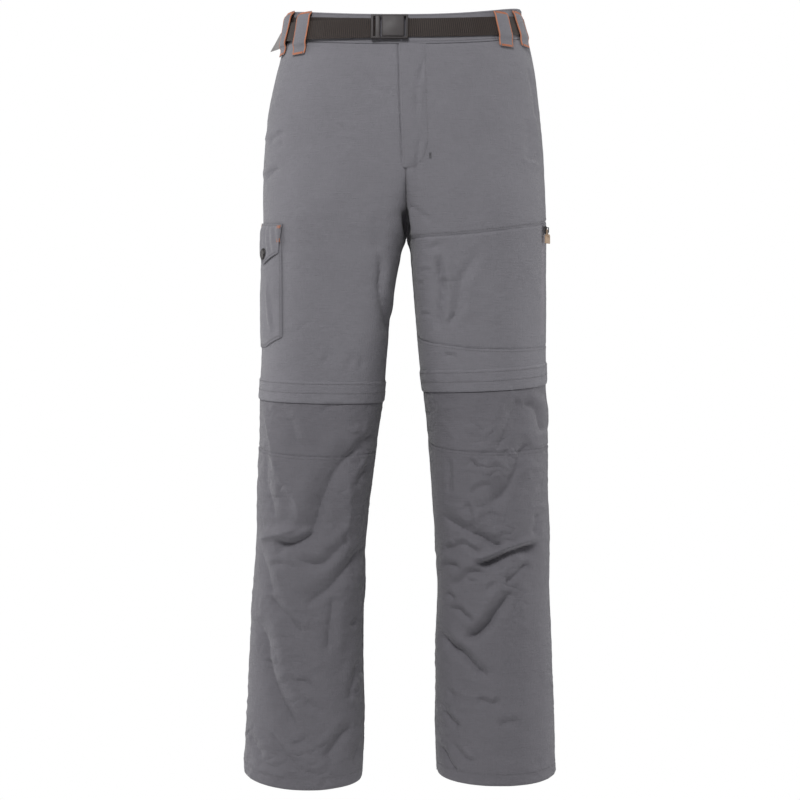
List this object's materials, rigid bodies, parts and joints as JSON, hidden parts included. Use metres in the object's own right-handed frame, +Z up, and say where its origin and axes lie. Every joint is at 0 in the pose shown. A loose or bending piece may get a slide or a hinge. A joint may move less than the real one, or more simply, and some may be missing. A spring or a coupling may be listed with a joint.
{
  "type": "cargo trousers",
  "caption": "Grey zip-off cargo trousers with a webbing belt, filled out as worn and hollow, with a flap pocket, a zipped thigh pocket, and zip-off lower legs under guards.",
  "frame": {"origin": "middle of the waist, on the level of the waistband's front, where the wearer holds the trousers up", "axes": "+Z up along the legs to the waist, -Y out of the front, +X to the wearer's left"},
  "size_m": [0.4364, 0.2561, 1.0893],
  "materials": {
    "cloth": "plain woven nylon, matt with a slight sheen",
    "lower_cloth": "the same woven nylon, a little darker and more creased",
    "loops": "woven nylon edged in orange thread",
    "webbing": "ribbed dark brown webbing",
    "buckle": "satin moulded",
    "snap": "dark domed cap",
    "zip_tape": "dark woven tape with moulded teeth",
    "slider": "dark painted",
    "pull_tab": "moulded orange"
  },
  "bodies": {
    "garment": {"waistband_front_R": "cloth", "waistband_front_L": "cloth", "waistband_back": "cloth", "front_R": "cloth", "back_R": "cloth", "back_L": "cloth", "front_hip_L": "cloth", "thigh_panel_L": "cloth", "thigh_lower_L": "cloth", "zip_guard_R": "cloth", "zip_guard_L": "cloth", "fly_lap": "cloth", "cargo_bag_R": "cloth", "cargo_flap_R": "cloth", "knee_R": "lower_cloth", "knee_L": "lower_cloth", "shin_R": "lower_cloth", "shin_L": "lower_cloth", "calf_R": "lower_cloth", "calf_L": "lower_cloth", "loop_front_R": "loops", "loop_side_R": "loops", "loop_front_L": "loops", "loop_side_L": "loops", "loop_back_R": "loops", "loop_back_L": "loops", "loop_back_centre": "loops", "belt_webbing": "webbing", "belt_tail": "webbing", "buckle_body": "buckle", "buckle_latch": "buckle", "snap_cap": "snap", "fly_zip": "zip_tape", "zip_off_R": "zip_tape", "zip_off_L": "zip_tape", "side_zip_L": "zip_tape", "slider_L": "slider"},
    "zip_pull": {"pull_tab_L": "pull_tab"}
  },
  "joints": [
    {"name": "pull_swing", "type": "hinge", "parent": "garment", "child": "zip_pull", "pos_m": [0.20199, -0.05121, -0.2881], "axis": [-0.3268, -0.9451, 0], "range_deg": [0, 120]}
  ]
}
